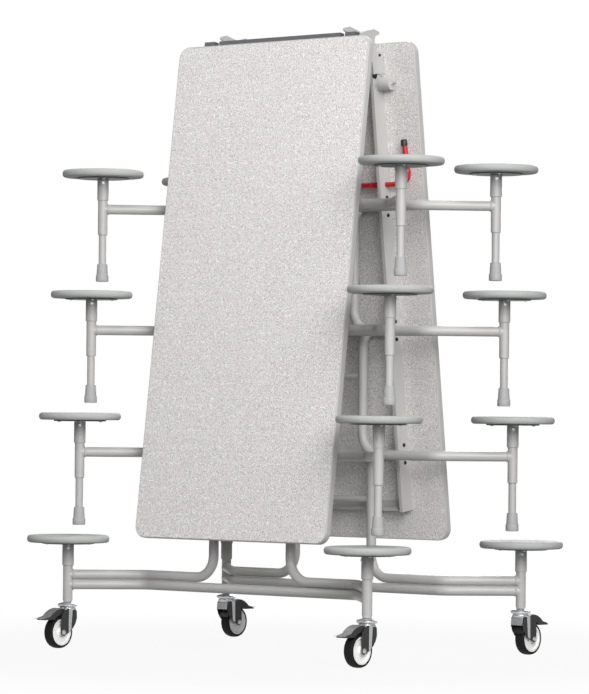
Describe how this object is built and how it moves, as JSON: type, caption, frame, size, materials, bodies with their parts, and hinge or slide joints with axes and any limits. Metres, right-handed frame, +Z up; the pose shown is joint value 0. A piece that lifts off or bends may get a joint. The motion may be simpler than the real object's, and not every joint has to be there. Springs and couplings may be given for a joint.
{
  "type": "mobile folding stool table",
  "caption": "Mobile folding dining table in two leaves on a wheeled steel frame, with round stools on cranked arms that stay level while the leaves fold up.",
  "frame": {"origin": "on the floor under the middle of the folded table", "axes": "Z up, X along the fold line across the table's width, Y from the front leaf to the rear leaf"},
  "size_m": [1.522, 1.0706, 2.0182],
  "materials": {
    "laminate": "light grey speckled laminate on board, satin",
    "frame_steel": "light grey powder coat, satin",
    "dark_steel": "dark grey paint, satin",
    "red_steel": "red powder coat, satin",
    "zinc": "bright zinc plate",
    "seat_plastic": "mid grey moulded plastic, fine satin grain",
    "foot_rubber": "grey rubber, matt",
    "tyre": "black rubber tread on a pale wheel centre",
    "black_plastic": "black moulded plastic, matt"
  },
  "bodies": {
    "hinge": {"hinge_tube": "frame_steel"},
    "front_half": {"table_top_front": "laminate", "cross_tie_front": "frame_steel", "rail_front_left": "frame_steel", "rail_front_right": "frame_steel", "joint_ledge": "dark_steel", "catch_rod": "frame_steel"},
    "rear_half": {"table_top_rear": "laminate", "cross_tie_rear": "frame_steel", "rail_rear_left": "frame_steel", "rail_rear_right": "frame_steel"},
    "lock": {"lock_handle": "red_steel"},
    "front_stools_1": {"stool_frame_front_1": "frame_steel", "seat_front_left_1": "seat_plastic", "foot_front_left_1": "foot_rubber", "seat_front_right_1": "seat_plastic", "foot_front_right_1": "foot_rubber"},
    "front_stools_2": {"stool_frame_front_2": "frame_steel", "seat_front_left_2": "seat_plastic", "foot_front_left_2": "foot_rubber", "seat_front_right_2": "seat_plastic", "foot_front_right_2": "foot_rubber"},
    "front_stools_3": {"stool_frame_front_3": "frame_steel", "seat_front_left_3": "seat_plastic", "foot_front_left_3": "foot_rubber", "seat_front_right_3": "seat_plastic", "foot_front_right_3": "foot_rubber"},
    "front_stools_4": {"stool_frame_front_4": "frame_steel", "seat_front_left_4": "seat_plastic", "seat_front_right_4": "seat_plastic"},
    "castor_fork_front_left": {"castor_fork_front_left": "zinc"},
    "castor_wheel_front_left": {"castor_wheel_front_left": "tyre"},
    "brake_pedal_front_left": {"brake_pedal_front_left": "black_plastic"},
    "castor_fork_front_right": {"castor_fork_front_right": "zinc"},
    "castor_wheel_front_right": {"castor_wheel_front_right": "tyre"},
    "brake_pedal_front_right": {"brake_pedal_front_right": "black_plastic"},
    "rear_stools_1": {"stool_frame_rear_1": "frame_steel", "seat_rear_left_1": "seat_plastic", "foot_rear_left_1": "foot_rubber", "seat_rear_right_1": "seat_plastic", "foot_rear_right_1": "foot_rubber"},
    "rear_stools_2": {"stool_frame_rear_2": "frame_steel", "seat_rear_left_2": "seat_plastic", "foot_rear_left_2": "foot_rubber", "seat_rear_right_2": "seat_plastic", "foot_rear_right_2": "foot_rubber"},
    "rear_stools_3": {"stool_frame_rear_3": "frame_steel", "seat_rear_left_3": "seat_plastic", "foot_rear_left_3": "foot_rubber", "seat_rear_right_3": "seat_plastic", "foot_rear_right_3": "foot_rubber"},
    "rear_stools_4": {"stool_frame_rear_4": "frame_steel", "seat_rear_left_4": "seat_plastic", "seat_rear_right_4": "seat_plastic"},
    "castor_fork_rear_left": {"castor_fork_rear_left": "zinc"},
    "castor_wheel_rear_left": {"castor_wheel_rear_left": "tyre"},
    "brake_pedal_rear_left": {"brake_pedal_rear_left": "black_plastic"},
    "castor_fork_rear_right": {"castor_fork_rear_right": "zinc"},
    "castor_wheel_rear_right": {"castor_wheel_rear_right": "tyre"},
    "brake_pedal_rear_right": {"brake_pedal_rear_right": "black_plastic"}
  },
  "joints": [
    {"name": "fold_front", "type": "hinge", "parent": "hinge", "child": "front_half", "pos_m": [0, 0, 1.96578], "axis": [-1, 0, 0], "range_deg": [0, 82.8], "stiffness_Nm_per_rad": 500, "springref_deg": -17.19},
    {"name": "fold_rear", "type": "hinge", "parent": "hinge", "child": "rear_half", "pos_m": [0, 0, 1.96578], "axis": [1, 0, 0], "range_deg": [0, 82.8], "stiffness_Nm_per_rad": 500, "springref_deg": -17.19},
    {"name": "level_front_1", "type": "hinge", "parent": "front_half", "child": "front_stools_1", "pos_m": [0, -0.09206, 1.85142], "axis": [1, 0, 0], "range_deg": [0, 82.8]},
    {"name": "level_front_2", "type": "hinge", "parent": "front_half", "child": "front_stools_2", "pos_m": [0, -0.14282, 1.44961], "axis": [1, 0, 0], "range_deg": [0, 82.8]},
    {"name": "level_front_3", "type": "hinge", "parent": "front_half", "child": "front_stools_3", "pos_m": [0, -0.19358, 1.04781], "axis": [1, 0, 0], "range_deg": [0, 82.8]},
    {"name": "level_front_4", "type": "hinge", "parent": "front_half", "child": "front_stools_4", "pos_m": [0, -0.24434, 0.646], "axis": [1, 0, 0], "range_deg": [0, 82.8]},
    {"name": "swivel_front_left", "type": "hinge", "parent": "front_stools_4", "child": "castor_fork_front_left", "pos_m": [-0.626, -0.40034, 0.14], "axis": [0, 0, 1], "continuous": true},
    {"name": "roll_front_left", "type": "hinge", "parent": "castor_fork_front_left", "child": "castor_wheel_front_left", "pos_m": [-0.626, -0.44334, 0.053], "axis": [1, 0, 0], "continuous": true},
    {"name": "brake_front_left", "type": "hinge", "parent": "castor_fork_front_left", "child": "brake_pedal_front_left", "pos_m": [-0.626, -0.43934, 0.12], "axis": [-1, 0, 0], "range_deg": [0, 10]},
    {"name": "swivel_front_right", "type": "hinge", "parent": "front_stools_4", "child": "castor_fork_front_right", "pos_m": [0.626, -0.40034, 0.14], "axis": [0, 0, 1], "continuous": true},
    {"name": "roll_front_right", "type": "hinge", "parent": "castor_fork_front_right", "child": "castor_wheel_front_right", "pos_m": [0.626, -0.44334, 0.053], "axis": [1, 0, 0], "continuous": true},
    {"name": "brake_front_right", "type": "hinge", "parent": "castor_fork_front_right", "child": "brake_pedal_front_right", "pos_m": [0.626, -0.43934, 0.12], "axis": [-1, 0, 0], "range_deg": [0, 10]},
    {"name": "level_rear_1", "type": "hinge", "parent": "rear_half", "child": "rear_stools_1", "pos_m": [0, 0.09206, 1.85142], "axis": [-1, 0, 0], "range_deg": [0, 82.8]},
    {"name": "level_rear_2", "type": "hinge", "parent": "rear_half", "child": "rear_stools_2", "pos_m": [0, 0.14282, 1.44961], "axis": [-1, 0, 0], "range_deg": [0, 82.8]},
    {"name": "level_rear_3", "type": "hinge", "parent": "rear_half", "child": "rear_stools_3", "pos_m": [0, 0.19358, 1.04781], "axis": [-1, 0, 0], "range_deg": [0, 82.8]},
    {"name": "level_rear_4", "type": "hinge", "parent": "rear_half", "child": "rear_stools_4", "pos_m": [0, 0.24434, 0.646], "axis": [-1, 0, 0], "range_deg": [0, 82.8]},
    {"name": "swivel_rear_left", "type": "hinge", "parent": "rear_stools_4", "child": "castor_fork_rear_left", "pos_m": [-0.626, 0.40034, 0.14], "axis": [0, 0, 1], "continuous": true},
    {"name": "roll_rear_left", "type": "hinge", "parent": "castor_fork_rear_left", "child": "castor_wheel_rear_left", "pos_m": [-0.626, 0.44334, 0.053], "axis": [1, 0, 0], "continuous": true},
    {"name": "brake_rear_left", "type": "hinge", "parent": "castor_fork_rear_left", "child": "brake_pedal_rear_left", "pos_m": [-0.626, 0.43934, 0.12], "axis": [1, 0, 0], "range_deg": [0, 10]},
    {"name": "swivel_rear_right", "type": "hinge", "parent": "rear_stools_4", "child": "castor_fork_rear_right", "pos_m": [0.626, 0.40034, 0.14], "axis": [0, 0, 1], "continuous": true},
    {"name": "roll_rear_right", "type": "hinge", "parent": "castor_fork_rear_right", "child": "castor_wheel_rear_right", "pos_m": [0.626, 0.44334, 0.053], "axis": [1, 0, 0], "continuous": true},
    {"name": "brake_rear_right", "type": "hinge", "parent": "castor_fork_rear_right", "child": "brake_pedal_rear_right", "pos_m": [0.626, 0.43934, 0.12], "axis": [1, 0, 0], "range_deg": [0, 10]},
    {"name": "lock_turn", "type": "hinge", "parent": "rear_half", "child": "lock", "pos_m": [0, 0.13591, 1.5203], "axis": [1, 0, 0], "range_deg": [0, 30]}
  ],
  "couplings": [
    {"joint": "fold_rear", "follows": "fold_front", "ratio": 1},
    {"joint": "level_front_1", "follows": "fold_front", "ratio": 1},
    {"joint": "level_front_2", "follows": "fold_front", "ratio": 1},
    {"joint": "level_front_3", "follows": "fold_front", "ratio": 1},
    {"joint": "level_front_4", "follows": "fold_front", "ratio": 1},
    {"joint": "level_rear_1", "follows": "fold_front", "ratio": 1},
    {"joint": "level_rear_2", "follows": "fold_front", "ratio": 1},
    {"joint": "level_rear_3", "follows": "fold_front", "ratio": 1},
    {"joint": "level_rear_4", "follows": "fold_front", "ratio": 1}
  ]
}
